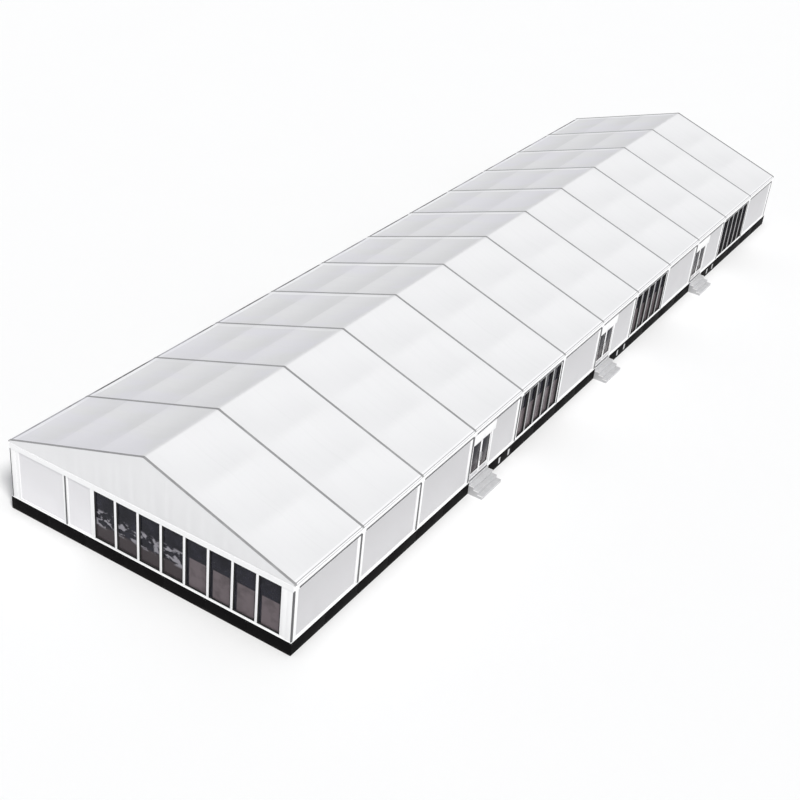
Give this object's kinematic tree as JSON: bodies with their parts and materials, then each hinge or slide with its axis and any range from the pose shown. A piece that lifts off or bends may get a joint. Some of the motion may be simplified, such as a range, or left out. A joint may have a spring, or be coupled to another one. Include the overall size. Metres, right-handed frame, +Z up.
{
  "type": "half-scale model of a clear-span marquee tent",
  "caption": "Long white frame marquee with a pitched fabric roof, glazed front gable, raised floor, framed side walls, double doors and entrance steps.",
  "frame": {"origin": "centre of the tent's footprint on the ground, under the middle of the ridge", "axes": "+Z up, +Y along the ridge to the rear gable, +X to the long wall with the doors"},
  "size_m": [8.6803, 30.11, 3.3],
  "materials": {
    "white_roof_sheet": "coated, matt",
    "white_wall_panel": "satin white",
    "white_frame_coat": "powder coated",
    "grey_aluminium": "anodised, matt",
    "dark_glass": "clear, dark behind",
    "black_base_board": "matt black",
    "grey_floor_board": "coated floor board",
    "grey_step_board": "light grey, ribbed"
  },
  "bodies": {
    "tent": {"base_frame": "black_base_board", "floor_deck": "grey_floor_board", "right_wall_frame_a": "grey_aluminium", "right_wall_frame_b": "grey_aluminium", "right_wall_frame_c": "grey_aluminium", "right_wall_frame_d": "grey_aluminium", "right_panel_01": "white_wall_panel", "right_panel_02": "white_wall_panel", "right_panel_03": "white_wall_panel", "right_panel_06": "white_wall_panel", "right_panel_09": "white_wall_panel", "right_panel_12": "white_wall_panel", "right_glass_05": "dark_glass", "right_glass_08": "dark_glass", "right_glass_11": "dark_glass", "door_wall_04": "white_wall_panel", "entrance_steps_04": "grey_step_board", "door_wall_07": "white_wall_panel", "entrance_steps_07": "grey_step_board", "door_wall_10": "white_wall_panel", "entrance_steps_10": "grey_step_board", "left_wall": "white_wall_panel", "left_glass": "dark_glass", "left_wall_frame": "grey_aluminium", "eave_beam_right": "white_frame_coat", "roof_frame_right": "grey_aluminium", "eave_beam_left": "white_frame_coat", "roof_frame_left": "grey_aluminium", "roof_sheet_01": "white_roof_sheet", "roof_sheet_02": "white_roof_sheet", "roof_sheet_03": "white_roof_sheet", "roof_sheet_04": "white_roof_sheet", "roof_sheet_05": "white_roof_sheet", "roof_sheet_06": "white_roof_sheet", "roof_sheet_07": "white_roof_sheet", "roof_sheet_08": "white_roof_sheet", "roof_sheet_09": "white_roof_sheet", "roof_sheet_10": "white_roof_sheet", "roof_sheet_11": "white_roof_sheet", "roof_sheet_12": "white_roof_sheet", "front_wall_frame": "white_frame_coat", "front_panel_inner": "white_wall_panel", "front_panel_corner": "white_wall_panel", "front_glass": "dark_glass", "front_gable_sheet": "white_roof_sheet", "rear_wall_frame": "white_frame_coat", "rear_wall": "white_wall_panel", "rear_gable_sheet": "white_roof_sheet"},
    "door_04_front": {"door_leaf_04_front": "dark_glass"},
    "door_04_rear": {"door_leaf_04_rear": "dark_glass"},
    "door_07_front": {"door_leaf_07_front": "dark_glass"},
    "door_07_rear": {"door_leaf_07_rear": "dark_glass"},
    "door_10_front": {"door_leaf_10_front": "dark_glass"},
    "door_10_rear": {"door_leaf_10_rear": "dark_glass"}
  },
  "joints": [
    {"name": "door_04_front_hinge", "type": "hinge", "parent": "tent", "child": "door_04_front", "pos_m": [4.075, -7.414, 0.35], "axis": [0, 0, -1], "range_deg": [0, 90]},
    {"name": "door_04_rear_hinge", "type": "hinge", "parent": "tent", "child": "door_04_rear", "pos_m": [4.075, -6.516, 0.35], "axis": [0, 0, 1], "range_deg": [0, 90]},
    {"name": "door_07_front_hinge", "type": "hinge", "parent": "tent", "child": "door_07_front", "pos_m": [4.075, 0.086, 0.35], "axis": [0, 0, -1], "range_deg": [0, 90]},
    {"name": "door_07_rear_hinge", "type": "hinge", "parent": "tent", "child": "door_07_rear", "pos_m": [4.075, 0.984, 0.35], "axis": [0, 0, 1], "range_deg": [0, 90]},
    {"name": "door_10_front_hinge", "type": "hinge", "parent": "tent", "child": "door_10_front", "pos_m": [4.075, 7.586, 0.35], "axis": [0, 0, -1], "range_deg": [0, 90]},
    {"name": "door_10_rear_hinge", "type": "hinge", "parent": "tent", "child": "door_10_rear", "pos_m": [4.075, 8.484, 0.35], "axis": [0, 0, 1], "range_deg": [0, 90]}
  ]
}
